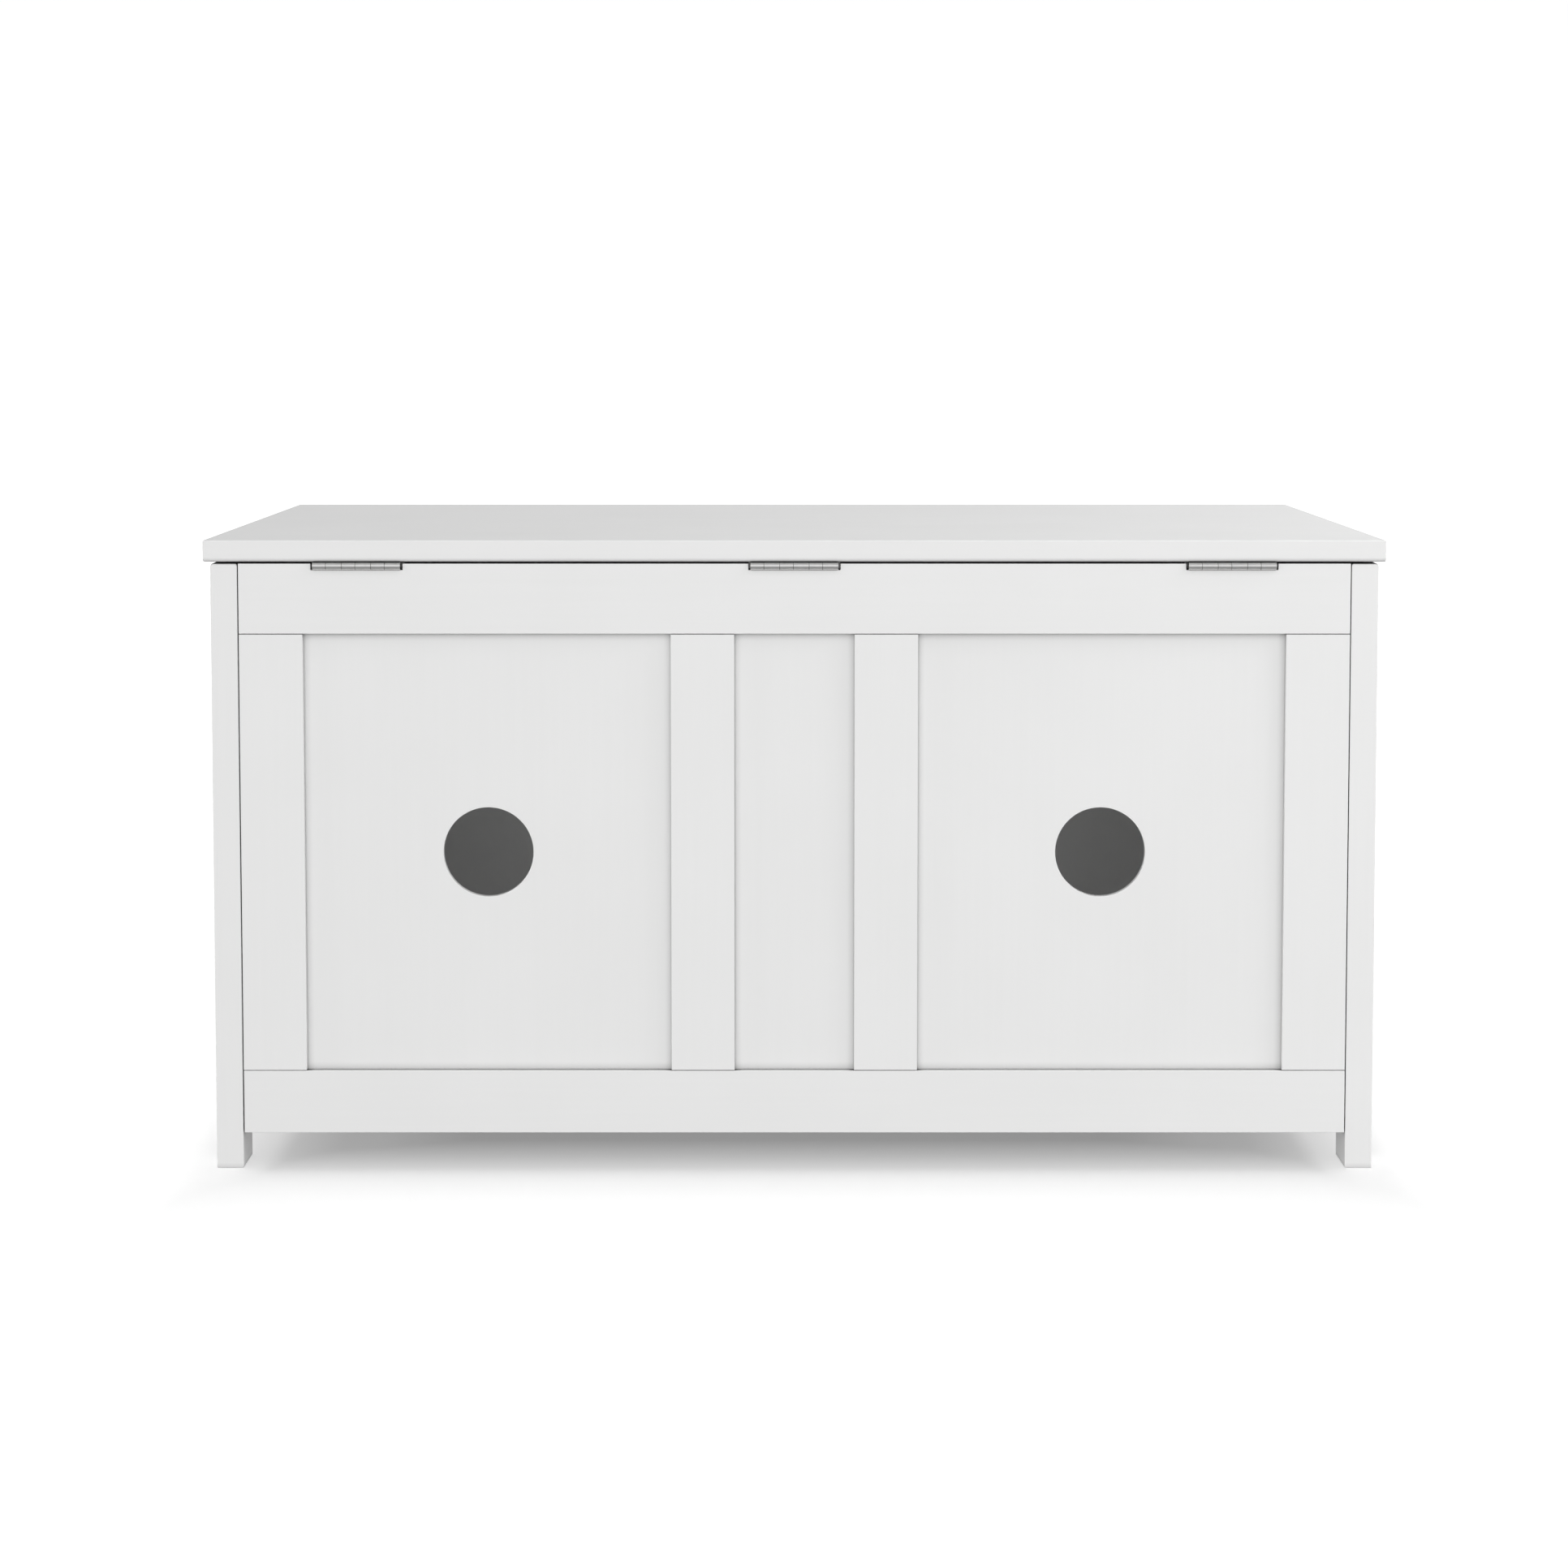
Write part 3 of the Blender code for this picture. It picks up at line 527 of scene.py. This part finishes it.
def add_screw(name, place, outward, kind, body):
    """A cross-recessed screw that rides on a body. outward is the way that its head faces."""
    profile, recess_radius, slot_name = kind
    bm = bmesh.new()
    rings = [ring(bm, radius, height) for radius, height in profile]
    join_rings(bm, rings)
    bm.faces.new(rings[-1])
    top = profile[0][1]
    reach = CROSS_REACH * recess_radius
    half_width = CROSS_HALF_WIDTH * recess_radius
    mouth = cross(bm, reach, half_width, top)
    floor = cross(
        bm, CROSS_FLOOR_REACH * reach, CROSS_FLOOR_WIDTH * half_width, top - CROSS_DEPTH,
    )
    join_rings(bm, [mouth, floor])
    bm.faces.new(floor)
    rim = loop_edges(bm, rings[0]) + loop_edges(bm, mouth)
    bmesh.ops.triangle_fill(bm, edges=rim, use_beauty=True, use_dissolve=False)
    bmesh.ops.recalc_face_normals(bm, faces=bm.faces)
    if bm.calc_volume(signed=True) < 0:
        bmesh.ops.reverse_faces(bm, faces=bm.faces)
    turn = AXES[2].rotation_difference(outward).to_matrix().to_4x4()
    bm.transform(Matrix.Translation(place) @ turn)
    made = add_object(name, mesh_from(name, bm))
    made.data.materials.append(HARDWARE[slot_name])
    add_smoothing(made)
    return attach(made, body)


def add_hinge_screws():
    """Three in each leaf, whose heads face the other leaf while the lid is shut."""
    for label in ("left", "centre", "right"):
        pin_low, pin_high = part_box(f"hinge_{label}_pin")
        pin = (pin_low + pin_high) / 2
        for body, up in (("lid", -1), ("box", 1)):
            for index in (-1, 0, 1):
                offset = (index * LEAF_SCREW_PITCH, -LEAF_SCREW_SETBACK, -up * LEAF_FACE_OFFSET)
                add_screw(
                    f"hinge_{label}_{body}_screw_{index + 2}", pin + Vector(offset),
                    up * AXES[2], LEAF_SCREW, body,
                )


def add_stay_screws():
    """Two in each plate on the end walls, and two in each bracket's tab under the lid."""
    for label, side in (("left", -1), ("right", 1)):
        low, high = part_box(f"stay_plate_{label}")
        inner_x = high.x if side < 0 else low.x
        centre = (low + high) / 2
        for way, number in PAIR:
            place = Vector((inner_x, centre.y + way * PLATE_SCREW_OFFSET, centre.z))
            add_screw(
                f"stay_plate_{label}_screw_{number}", place, -side * AXES[0], STAY_SCREW, "box",
            )
        low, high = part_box(f"stay_bracket_{label}")
        wall_x = max(abs(low.x), abs(high.x))
        tab_x = side * (wall_x - TAB_SCREW_SHARE * (high.x - low.x))
        pivot_low, pivot_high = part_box(f"stay_rivet_{label}")
        pivot_y = (pivot_low.y + pivot_high.y) / 2
        for way, number in PAIR:
            place = Vector((tab_x, pivot_y + way * TAB_SCREW_OFFSET, high.z - TAB_THICKNESS))
            add_screw(
                f"stay_bracket_{label}_screw_{number}", place, -AXES[2], STAY_SCREW, "lid",
            )


# ---------------------------------------------------------------- stage

def add_floor():
    """A white disc with a glow of its own, a painted light which fades into a painted shadow under
    the box and around its foot.
    """
    bm = bmesh.new()
    bmesh.ops.create_circle(bm, cap_ends=True, segments=FLOOR_STEPS, radius=FLOOR_RADIUS)
    floor = add_object("floor", mesh_from("floor", bm))
    surface = Surface(
        "studio_floor", Roughness=FLOOR_ROUGHNESS, Specular_IOR_Level=0.0,
        Emission_Color=WHITE, Base_Color=(FLOOR_ALBEDO,) * 3 + (1.0,),
    )
    here = surface.parts(surface.place)
    outside_x = surface.maths("SUBTRACT", surface.maths("ABSOLUTE", here["X"]), HALF_WIDTH)
    middle_y = (BACK_FACE + FRONT_FACE) / 2
    from_middle = surface.maths("ABSOLUTE", surface.maths("SUBTRACT", here["Y"], middle_y))
    outside_y = surface.maths("SUBTRACT", from_middle, (BACK_FACE - FRONT_FACE) / 2)
    beside = surface.steps(outside_y, SIDE_GLOW)
    beyond = surface.steps(outside_x, END_GLOW)
    surface.feed("Emission Strength", surface.maths("MAXIMUM", beside, beyond))
    floor.data.materials.append(surface.material)
    # The floor takes the box's shadow but lights nothing: the sky's lower half does that
    floor.visible_diffuse = False
    floor.visible_glossy = False
    floor.visible_shadow = False
    return floor


def add_world():
    """A white studio that is brightest at the horizon and dimmer overhead."""
    world = bpy.data.worlds.new("studio")
    bpy.context.scene.world = world
    world.use_nodes = True
    graph = Graph(world.node_tree)
    direction = graph.nodes.new("ShaderNodeTexCoord").outputs["Generated"]
    height = graph.parts(direction)["Z"]
    below = graph.ranged(height, SKY_BELOW, SKY_HORIZON, SKY_BELOW_RANGE)
    above = graph.ranged(height, 0.0, -SKY_FALL * SKY_HORIZON, SKY_FALL_RANGE)
    background = graph.nodes["Background"]
    background.inputs["Color"].default_value = WHITE
    graph.links.new(graph.maths("ADD", below, above), background.inputs["Strength"])


def add_light(name, kind, place, power):
    data = bpy.data.lights.new(name, kind)
    data.energy = power
    light = add_object(name, data)
    light.location = place
    light.visible_camera = False
    return light


def add_lights(floor):
    """The softboxes light the box alone. The floor has only the sky's soft shadow."""
    unlit = bpy.data.collections.new("unlit_by_softboxes")
    unlit.objects.link(floor)
    unlit.collection_objects[0].light_linking.link_state = "EXCLUDE"
    for name, place, size, power, mirrored in SOFTBOXES:
        softbox = add_light(name, "AREA", place, power)
        softbox.data.size = size
        softbox.rotation_euler = (Vector(AIM) - Vector(place)).to_track_quat("-Z", "Y").to_euler()
        softbox.visible_glossy = mirrored
        softbox.light_linking.receiver_collection = unlit
    cavity = add_light("cavity", "POINT", CAVITY_PLACE, CAVITY_POWER)
    cavity.data.shadow_soft_size = CAVITY_RADIUS


def add_camera():
    data = bpy.data.cameras.new("camera")
    data.sensor_width = SENSOR_WIDTH
    data.lens = CAMERA_LENS
    data.shift_y = CAMERA_SHIFT_Y
    camera = add_object("camera", data)
    camera.location = CAMERA_PLACE
    camera.rotation_euler = (CAMERA_TILT, 0.0, CAMERA_HEADING)
    bpy.context.scene.camera = camera
    bpy.context.scene.view_settings.view_transform = "Standard"


add_camera()
add_world()
add_lights(add_floor())
dress_nodes()
add_hinge_screws()
add_stay_screws()
